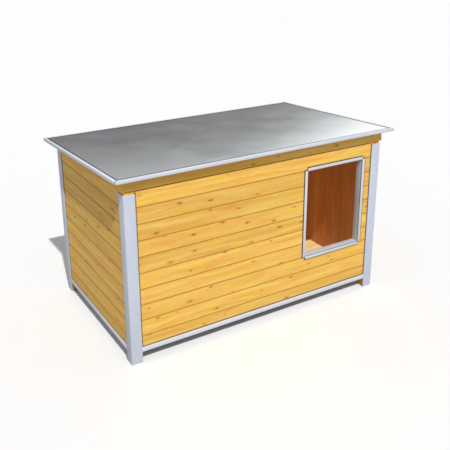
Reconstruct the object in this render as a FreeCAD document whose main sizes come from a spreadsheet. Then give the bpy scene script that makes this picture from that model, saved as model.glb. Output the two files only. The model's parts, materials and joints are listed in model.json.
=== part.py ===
import FreeCAD, Part
import os
import re
import Sketcher

# Insulated dog house with a flat, slightly sloping roof that opens on hinges at the rear.
#
# Frame: +X to the right as seen from the doorway side, -Y out of the doorway side, +Z up.
# The origin is on the ground, under the middle of the roof's outline. Lengths are in
# millimetres and angles in degrees.

SIZES = {
    # Body, measured over the corner angles.
    "body_width": 1200.0,
    "body_depth": 715.0,
    "ground_clearance": 47.0,
    "roof_slope": 3.17,
    # Overhang of the roof's outline past the corner angles.
    "front_overhang": 36.0,
    "rear_overhang": 46.0,
    "side_overhang": 41.0,
    # Running gap left between pieces that are slipped together.
    "fit_gap": 0.3,
    # Corner posts and the aluminium angles that protect them.
    "post_side": 38.0,
    "angle_leg": 45.0,
    "angle_wall": 3.0,
    "angle_top_gap": 11.0,
    # Clearance of the lid beside and over the rear angles' raised legs.
    "lid_side_play": 1.0,
    "raised_leg_gap": 3.0,
    # Tongue and groove boards.
    "board_thickness": 14.0,
    "board_cover": 65.0,
    "board_bevel": 1.6,
    "tongue_height": 5.0,
    "tongue_thickness": 4.0,
    "tongue_offset": 6.0,
    "tongue_play": 0.2,
    # Battens, foam and lining behind the boards.
    "batten_thickness": 12.0,
    "batten_width": 38.0,
    "lining_thickness": 6.0,
    # Doorway, as cut through the wall.
    "door_width": 300.0,
    "door_corner_distance": 92.0,
    "channel_wall": 2.0,
    "channel_flange": 13.0,
    # Base trim under the walls.
    "trim_wall": 2.0,
    "trim_height": 20.0,
    "trim_depth": 44.0,
    # Floor, from the underlay up.
    "underlay_thickness": 4.0,
    "floor_frame_height": 14.0,
    "floor_panel_thickness": 12.0,
    # Weather seal on top of the walls.
    "seal_thickness": 2.7,
    "seal_width": 20.0,
    "seal_inset": 6.0,
    # Roof lid.
    "rail_proud": 4.0,
    "rail_width": 44.0,
    "rail_height": 44.0,
    "lid_batten_width": 38.0,
    "lid_lining_thickness": 6.0,
    "deck_thickness": 10.0,
    "sheet_thickness": 1.0,
    "roof_trim_wall": 1.5,
    "roof_trim_leg": 10.0,
    "roof_trim_height": 13.0,
    # Butt hinges.
    "hinge_corner_distance": 200.0,
    "hinge_length": 76.0,
    "hinge_leaf_height": 24.0,
    "hinge_leaf_wall": 2.0,
    "hinge_axis_out": 5.0,
    "knuckle_radius": 4.7,
    "knuckle_play": 0.3,
    "pin_radius": 2.5,
    "pin_play": 0.05,
    # Countersunk screws.
    "screw_head_radius": 3.6,
    "screw_head_depth": 1.8,
    "screw_shank_radius": 1.8,
    "screw_length": 24.0,
    "screw_play": 0.1,
    "hinge_screw_pitch": 26.0,
}

# Counts: a wall is ten boards high at the front, and the doorway is six of them high.
WALL_BOARD_COUNT = 10
BELOW_DOOR_COUNT = 3
BESIDE_DOOR_COUNT = 6
LEAF_SCREW_COUNT = 3
LID_BAY_COUNT = 3
FLOOR_BAY_COUNT = 3

# Formulas that follow from the sizes. "u", "w" and the height are the walls' own
# directions: u runs to the right as seen from outside, w runs inwards.
DERIVED = {
    "left": "0 - body_width / 2",
    "right": "body_width / 2",
    "front": "(front_overhang - rear_overhang - body_depth) / 2",
    "back": "front + body_depth",
    "wall_front": "front + angle_wall",
    "wall_back": "back - angle_wall",
    "wall_run": "body_depth - 2 * angle_wall",
    "wall_thickness": "board_thickness + batten_thickness + lining_thickness",
    "front_wall_top": f"ground_clearance + {WALL_BOARD_COUNT} * board_cover",
    "rear_wall_top": "front_wall_top - wall_run * tan(roof_slope)",
    "post_inner": "angle_wall + post_side",
    "panel_end": "post_inner + fit_gap",
    "batten_face": "angle_wall + board_thickness",
    "lining_face": "batten_face + batten_thickness",
    "cabin_face": "angle_wall + wall_thickness",
    "stile_edge": "panel_end + batten_width",
    # Doorway in the front wall's own directions.
    "door_right": "body_width - door_corner_distance",
    "door_left": "door_right - door_width",
    "door_bottom": f"ground_clearance + {BELOW_DOOR_COUNT} * board_cover",
    "door_top": f"door_bottom + {BESIDE_DOOR_COUNT} * board_cover",
    "channel_width": "wall_thickness + 2 * channel_wall + 2 * fit_gap",
    "channel_face": "angle_wall - channel_wall - fit_gap",
    # Floor levels.
    "frame_bottom": "ground_clearance + underlay_thickness",
    "panel_bottom": "frame_bottom + floor_frame_height",
    "floor_top": "panel_bottom + floor_panel_thickness",
    # Lid, in the lid's own directions: the height is measured from the walls' tops and
    # the depth runs down the slope from the front boards' face.
    "rail_bottom": "seal_thickness + fit_gap",
    "rail_top": "rail_bottom + rail_height",
    "sheet_bottom": "rail_top + deck_thickness",
    "sheet_top": "sheet_bottom + sheet_thickness",
    "roof_top": "sheet_top + roof_trim_wall",
    "roof_lip": "roof_top - roof_trim_height",
    "frame_front": "0 - angle_wall - rail_proud",
    "frame_back": "wall_run / cos(roof_slope)",
    "frame_right": "body_width / 2 + rail_proud",
    "bay_front": "frame_front + rail_width",
    "bay_back": "frame_back - rail_width",
    "bay_right": "frame_right - rail_width",
    # The rear angles' side legs rise between the lid's overhang and its rear rail. The side
    # rails are notched as far as those legs reach from the hinge axis.
    "raised_top": "rail_top - raised_leg_gap",
    "raised_front": "(wall_run + angle_wall - angle_leg) / cos(roof_slope)"
                    " - raised_top * tan(roof_slope)",
    "lid_rear_right": "body_width / 2 - angle_wall - lid_side_play",
    "eave_front": "0 - (front_overhang + angle_wall + roof_lip * sin(roof_slope)) / cos(roof_slope)",
    "eave_back": "(wall_run + angle_wall + rear_overhang - roof_top * sin(roof_slope)) / cos(roof_slope)",
    "eave_right": "body_width / 2 + side_overhang",
    "deck_front": "eave_front + roof_trim_wall",
    "deck_back": "eave_back - roof_trim_wall",
    "deck_right": "eave_right - roof_trim_wall",
    # Hinge axis, first in the lid's directions and then in the body's.
    "axis_run": "frame_back + hinge_axis_out",
    "axis_rise": "rail_bottom / 2",
    "axis_depth": "wall_front + axis_run * cos(roof_slope) + axis_rise * sin(roof_slope)",
    "axis_height": "front_wall_top - axis_run * sin(roof_slope) + axis_rise * cos(roof_slope)",
    "raised_reach": "sqrt((axis_run - raised_front) ^ 2 + (raised_top - axis_rise) ^ 2)",
    "notch_front": "axis_run - raised_reach - lid_side_play",
    "leaf_edge": "knuckle_radius + knuckle_play",
    "leaf_end": "leaf_edge + hinge_leaf_height",
    "leaf_screw": "leaf_edge + hinge_leaf_height / 2",
}

X_AXIS = FreeCAD.Vector(1, 0, 0)
Z_AXIS = FreeCAD.Vector(0, 0, 1)
# Turns that lay a profile drawn on XY along another direction.
ALONG_X = FreeCAD.Rotation(FreeCAD.Vector(1, 1, 1), 120)
ALONG_X_UPSIDE_DOWN = FreeCAD.Rotation(FreeCAD.Vector(-1, -1, 1), 120)
FLIPPED_DOWN = FreeCAD.Rotation(FreeCAD.Vector(1, 1, 0), 180)
QUARTERS = {"front": 0, "right": 90, "rear": 180, "left": 270}
CUTTER_REACH = 2000.0

DOC = FreeCAD.newDocument("dog_house")
NODES = []


def fill_sheet():
    """Write every driving size to the sheet, each under its own alias."""
    sheet = DOC.addObject("Spreadsheet::Sheet", "sizes")
    for row, (alias, value) in enumerate(SIZES.items(), start=1):
        sheet.set(f"A{row}", alias)
        sheet.set(f"B{row}", str(value))
        sheet.setAlias(f"B{row}", alias)
    DOC.recompute()


def spelled_out(formula):
    """Replace the plain names in a formula by sheet cells and by the derived formulas."""
    def swap(match):
        word = match.group(0)
        if word in DERIVED:
            return "(" + spelled_out(DERIVED[word]) + ")"
        return "sizes." + word if word in SIZES else word
    return re.sub(r"[a-z_]+", swap, str(formula))


def bind(item, prop, formula):
    """Tie one property to the sheet."""
    item.setExpression(prop, spelled_out(formula))


def place(item, base, rotation=None):
    """Turn an object and tie its position to the sheet."""
    if rotation is not None:
        item.Placement = FreeCAD.Placement(FreeCAD.Vector(), rotation)
    for axis, formula in zip("xyz", base):
        bind(item, "Placement.Base." + axis, formula)
    return item


def node(item, label):
    """Mark an object as one sub-part and give it its name."""
    item.Label = label
    NODES.append(item)
    return item


def box(name, x_span, y_span, z_span):
    """A block between two formulas on each axis."""
    block = DOC.addObject("Part::Box", name)
    spans = zip(("Length", "Width", "Height"), (x_span, y_span, z_span))
    for prop, (low, high) in spans:
        bind(block, prop, f"({high}) - ({low})")
    return place(block, (x_span[0], y_span[0], z_span[0]))


def cylinder(name, radius, length, base, rotation=None):
    """A round bar; its axis runs along Z before it is turned."""
    bar = DOC.addObject("Part::Cylinder", name)
    bind(bar, "Radius", radius)
    bind(bar, "Height", length)
    return place(bar, base, rotation)


def group(name, members):
    """Several separate solids under one name."""
    bundle = DOC.addObject("Part::Compound", name)
    bundle.Links = members
    return bundle


def fuse(name, members):
    """One solid from overlapping shapes."""
    joined = DOC.addObject("Part::MultiFuse", name)
    joined.Shapes = members
    return joined


def cut(name, base, tool):
    """The base without the tool."""
    rest = DOC.addObject("Part::Cut", name)
    rest.Base = base
    rest.Tool = tool
    return rest


def common(name, base, tool):
    """What the base and the tool share."""
    shared = DOC.addObject("Part::Common", name)
    shared.Base = base
    shared.Tool = tool
    return shared


def on_lid(item):
    """Seat a shape, built in the lid's own directions, on the sloping wall tops."""
    item.Placement = FreeCAD.Placement(FreeCAD.Vector(), FreeCAD.Rotation(-X_AXIS, 1))
    bind(item, "Placement.Rotation.Angle", "roof_slope")
    return place(item, ("0", "wall_front", "front_wall_top"))


def on_wall(item, side):
    """Seat a shape, built in a wall's own directions, on that side of the body."""
    corner = {
        "front": ("left", "front", "0"),
        "right": ("right", "front", "0"),
        "rear": ("right", "back", "0"),
        "left": ("left", "back", "0"),
    }[side]
    return place(item, corner, FreeCAD.Rotation(Z_AXIS, QUARTERS[side]))


def outline_sketch(sketch, points):
    """Draw a closed outline whose corners are formulas measured from the sketch's origin."""
    count = len(points)
    for start, end in zip(points, points[1:] + points[:1]):
        ends = [FreeCAD.Vector(*[0 if value == "0" else 1 for value in point], 0)
                for point in (start, end)]
        ends[1] += FreeCAD.Vector(0.5, 0.25, 0)
        sketch.addGeometry(Part.LineSegment(*ends), False)
    for index in range(count):
        sketch.addConstraint(Sketcher.Constraint("Coincident", index, 2, (index + 1) % count, 1))
    for index, point in enumerate(points):
        for value, kind, axis in zip(point, ("DistanceX", "DistanceY"), (-2, -1)):
            if value == "0":
                sketch.addConstraint(Sketcher.Constraint("PointOnObject", index, 1, axis))
                continue
            rule = sketch.addConstraint(Sketcher.Constraint(kind, -1, 1, index, 1, 1.0))
            sketch.setExpression(f"Constraints[{rule}]", spelled_out(value))


def profile_body(name, points, length):
    """A bar of constant section: a body with one sketch on its XY plane and one pad."""
    body = DOC.addObject("PartDesign::Body", name)
    sketch = body.newObject("Sketcher::SketchObject", name + "_section")
    plane = next(item for item in body.Origin.OriginFeatures if item.Role == "XY_Plane")
    sketch.AttachmentSupport = [(plane, "")]
    sketch.MapMode = "FlatFace"
    outline_sketch(sketch, points)
    pad = body.newObject("PartDesign::Pad", name + "_pad")
    pad.Profile = sketch
    bind(pad, "Length", length)
    return body


def l_section(depth, height, wall):
    """Corners of an angle section: one leg along each axis, the outer corner at the origin."""
    return [("0", "0"), (depth, "0"), (depth, wall), (wall, wall), (wall, height), ("0", height)]


def c_section(depth, flange, wall):
    """Corners of a channel section: the web on the first axis and two flanges upwards."""
    inner = f"{depth} - {wall}"
    return [("0", "0"), (depth, "0"), (depth, flange), (inner, flange),
            (inner, wall), (wall, wall), (wall, flange), ("0", flange)]


def board_section():
    """Corners of a tongue and groove board: depth from its face, then height."""
    height = "board_cover - fit_gap"
    groove_in = "tongue_offset - tongue_play"
    groove_out = "tongue_offset + tongue_thickness + tongue_play"
    groove_top = "tongue_height + tongue_play"
    tongue_out = "tongue_offset + tongue_thickness"
    return [
        ("board_bevel", "0"), (groove_in, "0"), (groove_in, groove_top),
        (groove_out, groove_top), (groove_out, "0"), ("board_thickness", "0"),
        ("board_thickness", height), (tongue_out, height),
        (tongue_out, f"{height} + tongue_height"), ("tongue_offset", f"{height} + tongue_height"),
        ("tongue_offset", height), ("board_bevel", height),
        ("0", f"{height} - board_bevel"), ("0", "board_bevel"),
    ]


class Cutters:
    """Shapes that trim several pieces alike."""

    def __init__(self):
        reach = (f"0 - {CUTTER_REACH}", str(CUTTER_REACH))
        # Everything above the sloping plane on which the lid's seal lies.
        self.over_walls = on_lid(group("over_walls", [
            box("over_walls_block", reach, reach, ("0", str(CUTTER_REACH)))]))
        # The sloping band of the walls' top rails, and everything from its underside up.
        self.rail_band = on_lid(group("rail_band", [
            box("rail_band_block", reach, reach, ("0 - batten_width", "0"))]))
        self.over_stiles = on_lid(group("over_stiles", [
            box("over_stiles_block", reach, reach,
                ("0 - batten_width", str(CUTTER_REACH)))]))
        # What the rear angles leave free: the lid's rear rail and the space under its deck.
        under_deck = on_lid(group("under_deck", [
            box("under_deck_block", reach, reach, ("raised_top", str(CUTTER_REACH)))]))
        self.over_rear_angles = fuse("over_rear_angles", [under_deck, box(
            "over_rear_legs", ("left + angle_wall", "right - angle_wall"),
            ("front", "back + angle_wall"),
            ("rear_wall_top - angle_top_gap", str(CUTTER_REACH)))])
        # The doorway, in the front wall's own directions.
        self.doorway = box("doorway", ("door_left", "door_right"),
                           ("0 - body_depth / 4", "body_depth / 4"), ("door_bottom", "door_top"))
        # The tongue left standing over the doorway, inside the groove of the next board.
        tongue = box("doorway_tongue", ("door_left", "door_right"), (
            "angle_wall + tongue_offset - tongue_play",
            "angle_wall + tongue_offset + tongue_thickness + tongue_play"),
            ("door_top - board_bevel", "door_top + tongue_height + tongue_play"))
        self.board_doorway = group("board_doorway", [self.doorway, tongue])
        # The four corner posts with their gap, for what is notched around them.
        self.post_notches = group("post_notches", [
            box("post_notch_" + corner, x_span, y_span, ("0", "front_wall_top"))
            for corner, (x_span, y_span) in corner_spans("panel_end").items()])


def corner_spans(size):
    """X and Y spans of a square of the given size at each outer corner of the body."""
    sides = {
        "l": ("left", f"left + {size}"), "r": (f"right - ({size})", "right"),
        "f": ("front", f"front + {size}"), "b": (f"back - ({size})", "back"),
    }
    return {
        "front_left": (sides["l"], sides["f"]), "front_right": (sides["r"], sides["f"]),
        "rear_right": (sides["r"], sides["b"]), "rear_left": (sides["l"], sides["b"]),
    }


class ScrewShop:
    """Countersunk screws and the matching drilled holes."""

    def __init__(self):
        self.screw = self.turned("screw_blank", "0")
        self.drill = self.turned("screw_drill", "screw_play")

    @staticmethod
    def turned(name, play):
        """One screw with its head at the origin, pointing along +Z, oversize by the play."""
        head = DOC.addObject("Part::Cone", name + "_head")
        bind(head, "Radius1", f"screw_head_radius + {play}")
        bind(head, "Radius2", f"screw_shank_radius + {play}")
        bind(head, "Height", "screw_head_depth")
        shank = cylinder(name + "_shank", f"screw_shank_radius + {play}",
                         f"screw_length + {play}", ("0", "0", "0"))
        return fuse(name, [head, shank])

    def pair(self, name, base, rotation):
        """A screw and its hole, seated alike."""
        return [place(group(name + suffix, [blank]), base, rotation)
                for suffix, blank in (("", self.screw), ("_hole", self.drill))]


def build_corners(cutters):
    """Corner posts that carry the house, and the aluminium angles bonded round them.

    The front angles end below the lid. At the rear the side leg runs on beside the lid's
    rear rail, and the rear leg stops short so that the lid can swing.
    """
    corners = {
        "front_left": ("left", "front", 0),
        "front_right": ("right", "front", 90),
        "rear_right": ("right", "back", 180),
        "rear_left": ("left", "back", 270),
    }
    section = l_section("angle_leg", "angle_leg", "angle_wall")
    for corner, (x_corner, y_corner, turn) in corners.items():
        seat = FreeCAD.Rotation(Z_AXIS, turn)
        at_corner = (x_corner, y_corner, "0")
        post = place(group(corner + "_post_seated", [
            box(corner + "_post_block", ("angle_wall", "post_inner"),
                ("angle_wall", "post_inner"), ("0", "front_wall_top"))]), at_corner, seat)
        node(cut(corner + "_post", post, cutters.over_walls), "corner_post_" + corner)
        if y_corner == "front":
            angle = place(profile_body(corner + "_angle", section,
                                       "front_wall_top - angle_top_gap"), at_corner, seat)
        else:
            blank = place(profile_body(corner + "_angle", section,
                                       "front_wall_top + rail_top"), at_corner, seat)
            angle = cut(corner + "_angle_trimmed", blank, cutters.over_rear_angles)
        node(angle, "corner_angle_" + corner)


def build_wall(side, cutters, profile, stiles, bays, extra_battens, holes):
    """Boards, battens, foam and lining of one wall.

    stiles holds the u spans of the upright battens between the two end ones, and bays
    the u and height spans of the foam slabs. holes is what screws remove, or None.
    """
    length = "body_depth" if side in ("left", "right") else "body_width"
    end = f"{length} - panel_end"
    run = ("panel_end", end)
    batten_span = ("batten_face", "lining_face")
    wall_span = ("ground_clearance", "front_wall_top + board_cover")
    above_rail = "ground_clearance + batten_width"

    def finish(item, label, trim, drilled=False):
        item = cut(f"{side}_{label}_trimmed", on_wall(item, side), trim)
        if drilled and holes is not None:
            item = cut(f"{side}_{label}_drilled", item, holes)
        return item

    boards = []
    for index in range(WALL_BOARD_COUNT):
        board = DOC.addObject("Part::Extrusion", f"{side}_board_{index + 1}")
        board.Base = profile
        board.DirMode = "Normal"
        board.Solid = True
        bind(board, "LengthFwd", f"{length} - 2 * panel_end")
        boards.append(place(board, (
            "panel_end", "angle_wall",
            f"ground_clearance + {index} * board_cover + fit_gap / 2"), ALONG_X))
    cladding = group(side + "_cladding", boards)
    lining = box(side + "_lining_sheet", run, ("lining_face", "cabin_face"), wall_span)
    if side == "front":
        cladding = group("front_cladding_cut", [
            cut("front_cladding_doorway", cladding, cutters.board_doorway)])
        lining = group("front_lining_cut", [
            cut("front_lining_doorway", lining, cutters.doorway)])
    node(finish(cladding, "boards", cutters.over_walls, drilled=True), side + "_boards")
    node(finish(group(side + "_lining_piece", [lining]), "lining", cutters.over_walls),
         side + "_lining")

    bottom = box(side + "_bottom_batten", run, batten_span, ("ground_clearance", above_rail))
    ends = [("panel_end", "stile_edge"), (f"{end} - batten_width", end)]
    uprights = [box(f"{side}_stile_{index}", span, batten_span, (above_rail, "front_wall_top"))
                for index, span in enumerate((ends if side != "front" else ends[:1]) + stiles)]
    uprights = finish(group(side + "_stiles", uprights + [
        box(f"{side}_batten_{index}", u_span, batten_span, z_span)
        for index, (u_span, z_span) in enumerate(extra_battens)]), "stiles", cutters.over_stiles)
    blank = on_wall(group(side + "_top_batten_blank", [
        box(side + "_top_batten_block", run, batten_span, wall_span)]), side)
    top = common(side + "_top_batten", blank, cutters.rail_band)
    if holes is not None:
        top = cut(side + "_top_batten_drilled", top, holes)
    bottom = on_wall(group(side + "_bottom_batten_seated", [bottom]), side)
    node(group(side + "_wall_battens", [bottom, uprights, top]), side + "_wall_battens")

    foam = [box(f"{side}_foam_{index}", (f"{low} + fit_gap", f"{high} - fit_gap"),
                ("batten_face + fit_gap", "lining_face"),
                (f"{bottom_edge} + fit_gap", top_edge))
            for index, (low, high, bottom_edge, top_edge) in enumerate(bays)]
    node(finish(group(side + "_foam", foam), "foam", cutters.over_stiles),
         side + "_wall_insulation")


def build_walls(cutters, hinge_holes):
    """The four insulated wall panels."""
    profile = DOC.addObject("Sketcher::SketchObject", "board_profile")
    outline_sketch(profile, board_section())
    above_rail = "ground_clearance + batten_width"
    side_end = "body_depth - stile_edge"
    middle = ("(body_width - batten_width) / 2", "(body_width + batten_width) / 2")
    side_bay = [("stile_edge", side_end, above_rail, "front_wall_top")]
    # Beside the doorway stand two uprights, and one batten lies under and one over it.
    left_upright = "door_left - batten_width"
    build_wall("front", cutters, profile,
               stiles=[(left_upright, "door_left"), ("door_right", "body_width - panel_end")],
               bays=[("stile_edge", left_upright, above_rail, "front_wall_top"),
                     ("door_left", "door_right", above_rail, "door_bottom - batten_width - fit_gap")],
               extra_battens=[
                   (("door_left", "door_right"), ("door_bottom - batten_width", "door_bottom")),
                   (("door_left", "door_right"), ("door_top", "front_wall_top"))],
               holes=None)
    build_wall("rear", cutters, profile, stiles=[middle],
               bays=[("stile_edge", middle[0], above_rail, "front_wall_top"),
                     (middle[1], "body_width - stile_edge", above_rail, "front_wall_top")],
               extra_battens=[], holes=hinge_holes)
    for side in ("left", "right"):
        build_wall(side, cutters, profile, stiles=[], bays=side_bay,
                   extra_battens=[], holes=None)


def build_base_trims():
    """Aluminium angles under the walls: a low upright leg outside, a wide leg beneath."""
    for side in QUARTERS:
        length = "body_depth" if side in ("left", "right") else "body_width"
        bar = profile_body(side + "_trim_bar", l_section("trim_depth", "trim_height", "trim_wall"),
                           f"{length} - 2 * (angle_leg + fit_gap)")
        place(bar, ("angle_leg + fit_gap", "angle_wall - trim_wall - fit_gap",
                    "ground_clearance - trim_wall"), ALONG_X)
        node(on_wall(group(side + "_trim", [bar]), side), "base_trim_" + side)


def build_door_channels():
    """Four aluminium channels pushed over the cut edges of the doorway."""
    section = c_section("channel_width", "channel_flange", "channel_wall")
    inner_left = "door_left + fit_gap + channel_wall"
    inner_right = "door_right - fit_gap - channel_wall"
    inner_bottom = "door_bottom + fit_gap + channel_wall"
    inner_top = "door_top - fit_gap - channel_wall"
    upright = "door_top - door_bottom - 2 * fit_gap"
    level = f"({inner_right}) - ({inner_left}) - 2 * fit_gap"
    pieces = {
        "left": (upright, (inner_left, "channel_face", "door_bottom + fit_gap"),
                 FreeCAD.Rotation(Z_AXIS, 90)),
        "right": (upright, (inner_right, "channel_face", "door_top - fit_gap"), FLIPPED_DOWN),
        "head": (level, (f"{inner_left} + fit_gap", "channel_face", inner_top), ALONG_X),
        "sill": (level, (f"{inner_right} - fit_gap", "channel_face", inner_bottom),
                 ALONG_X_UPSIDE_DOWN),
    }
    for name, (length, base, rotation) in pieces.items():
        bar = place(profile_body(f"door_{name}_bar", section, length), base, rotation)
        node(on_wall(group(f"door_{name}", [bar]), "front"), f"door_{name}_channel")


def build_floor(cutters):
    """Underlay, frame, foam and floor panel, carried by the wide legs of the base trims."""
    sheet_x = ("left + cabin_face + fit_gap", "right - cabin_face - fit_gap")
    sheet_y = ("front + cabin_face + fit_gap", "back - cabin_face - fit_gap")
    for name, z_span in (("floor_underlay", ("ground_clearance", "frame_bottom")),
                         ("floor_panel", ("panel_bottom", "floor_top"))):
        node(cut(name, box(name + "_sheet", sheet_x, sheet_y, z_span), cutters.post_notches), name)

    x_low, x_high = "left + panel_end", "right - panel_end"
    y_low, y_high = "front + panel_end", "back - panel_end"
    frame_z = ("frame_bottom", "panel_bottom")
    long_front = (y_low, f"{y_low} + batten_width")
    long_back = (f"{y_high} - batten_width", y_high)
    battens = [box("floor_batten_front", (x_low, x_high), long_front, frame_z),
               box("floor_batten_back", (x_low, x_high), long_back, frame_z)]
    foam = []
    between = (f"{y_low} + batten_width", f"{y_high} - batten_width")
    bay = f"(body_width - 2 * panel_end - batten_width) / {FLOOR_BAY_COUNT}"
    for index in range(FLOOR_BAY_COUNT + 1):
        start = f"{x_low} + {index} * {bay}"
        battens.append(box(f"floor_joist_{index}", (start, f"{start} + batten_width"),
                           between, frame_z))
        if index < FLOOR_BAY_COUNT:
            foam.append(box(
                f"floor_foam_{index}",
                (f"{start} + batten_width + fit_gap", f"{start} + {bay} - fit_gap"),
                (f"{between[0]} + fit_gap", f"{between[1]} - fit_gap"),
                ("frame_bottom", "panel_bottom - fit_gap")))
    node(group("floor_frame", battens), "floor_frame")
    node(group("floor_insulation", foam), "floor_insulation")


def build_seal():
    """Foam strip on top of the walls, on which the closed lid rests."""
    outer = "body_width / 2 - angle_wall - seal_inset"
    inner = f"{outer} - seal_width"
    height = ("0", "seal_thickness")
    start, end = "seal_inset", "frame_back - seal_inset"
    strips = [
        box("seal_front", (f"0 - ({outer})", outer), (start, f"{start} + seal_width"), height),
        box("seal_rear", (f"0 - ({outer})", outer), (f"{end} - seal_width", end), height)]
    side_y = (f"{start} + seal_width + fit_gap", f"{end} - seal_width - fit_gap")
    strips.append(box("seal_left", (f"0 - ({outer})", f"0 - ({inner})"), side_y, height))
    strips.append(box("seal_right", (inner, outer), side_y, height))
    node(on_lid(group("lid_seal", strips)), "lid_seal")


def build_lid_frame(hinge_holes):
    """Timber rails, cross battens, foam and lining of the lid."""
    rail_z = ("rail_bottom", "rail_top")
    full = ("0 - (frame_right)", "frame_right")
    node(on_lid(group("rail_front", [
        box("rail_front_bar", full, ("frame_front", "bay_front"), rail_z)])), "lid_rail_front")
    between_angles = ("0 - (lid_rear_right)", "lid_rear_right")
    rear = on_lid(group("rail_rear", [
        box("rail_rear_bar", between_angles, ("bay_back", "frame_back"), rail_z)]))
    node(cut("rail_rear_drilled", rear, hinge_holes), "lid_rail_rear")
    side_y = ("bay_front + fit_gap", "bay_back - fit_gap")
    for side, x_span, clear_x in (
            ("left", ("0 - (frame_right)", "0 - (bay_right)"),
             ("0 - (eave_right)", "0 - (lid_rear_right)")),
            ("right", ("bay_right", "frame_right"), ("lid_rear_right", "eave_right"))):
        notch = box(f"rail_{side}_notch", clear_x, ("notch_front", "frame_back"),
                    ("0", "sheet_top"))
        bar = cut(f"rail_{side}_notched", box(f"rail_{side}_bar", x_span, side_y, rail_z), notch)
        node(on_lid(group("rail_" + side, [bar])), "lid_rail_" + side)

    lining_top = "rail_bottom + lid_lining_thickness"
    inside_x = ("0 - (bay_right) + fit_gap", "bay_right - fit_gap")
    node(on_lid(group("lid_lining", [
        box("lid_lining_sheet", inside_x, side_y, ("rail_bottom", lining_top))])), "lid_lining")
    bay = f"(2 * (bay_right) - {LID_BAY_COUNT - 1} * lid_batten_width) / {LID_BAY_COUNT}"
    battens, foam = [], []
    for index in range(LID_BAY_COUNT):
        start = f"{index} * ({bay} + lid_batten_width) - (bay_right)"
        foam.append(box(f"lid_foam_{index}", (f"{start} + fit_gap", f"{start} + {bay} - fit_gap"),
                        side_y, (lining_top, "rail_top - fit_gap")))
        if index < LID_BAY_COUNT - 1:
            battens.append(box(f"lid_batten_{index}",
                               (f"{start} + {bay}", f"{start} + {bay} + lid_batten_width"),
                               side_y, (lining_top, "rail_top")))
    node(on_lid(group("lid_cross_battens", battens)), "lid_cross_battens")
    node(on_lid(group("lid_insulation", foam)), "lid_insulation")


def build_roof():
    """Deck, metal sheet and the mitred edge trims."""
    deck_x = ("0 - (deck_right)", "deck_right")
    deck_y = ("deck_front", "deck_back")
    node(on_lid(group("roof_deck", [
        box("roof_deck_board", deck_x, deck_y, ("rail_top", "sheet_bottom"))])), "roof_deck")
    node(on_lid(group("roof_sheet", [
        box("roof_sheet_plate", deck_x, deck_y, ("sheet_bottom", "sheet_top"))])), "roof_sheet")

    # Each trim is a mitred bar, a trapezium seen from above, hollowed to an angle section.
    depth = "(eave_back) - (eave_front)"
    width = "2 * (eave_right)"
    edges = {
        "front": (width, ("0 - (eave_right)", "eave_front"), 0),
        "right": (depth, ("eave_right", "eave_front"), 90),
        "rear": (width, ("eave_right", "eave_back"), 180),
        "left": (depth, ("0 - (eave_right)", "eave_back"), 270),
    }
    for side, (length, corner, turn) in edges.items():
        bar = mitred_bar(side + "_mitre", length, "0", "roof_trim_leg", "roof_lip", "roof_top")
        hollow = mitred_bar(side + "_hollow", length, "roof_trim_wall",
                            "roof_trim_leg + roof_trim_wall", "roof_lip - roof_trim_wall",
                            "sheet_top")
        trim = cut(side + "_eave_angle", bar, hollow)
        seated = place(group(side + "_eave_seated", [trim]), (*corner, "0"),
                       FreeCAD.Rotation(Z_AXIS, turn))
        node(on_lid(group(side + "_eave_trim", [seated])), "roof_trim_" + side)


def mitred_bar(name, length, near, far, low, high):
    """A bar along X from depth near to depth far, with both ends cut back at 45 degrees."""
    bar = DOC.addObject("Part::Wedge", name)
    gap = "fit_gap / 2"
    for prop, formula in {
            "Xmin": f"{near} + {gap}", "Xmax": f"{length} - ({near}) - {gap}",
            "X2min": f"{far} + {gap}", "X2max": f"{length} - ({far}) - {gap}",
            "Ymin": near, "Ymax": far, "Zmin": low, "Zmax": high,
            "Z2min": low, "Z2max": high}.items():
        bind(bar, prop, formula)
    return bar


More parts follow.
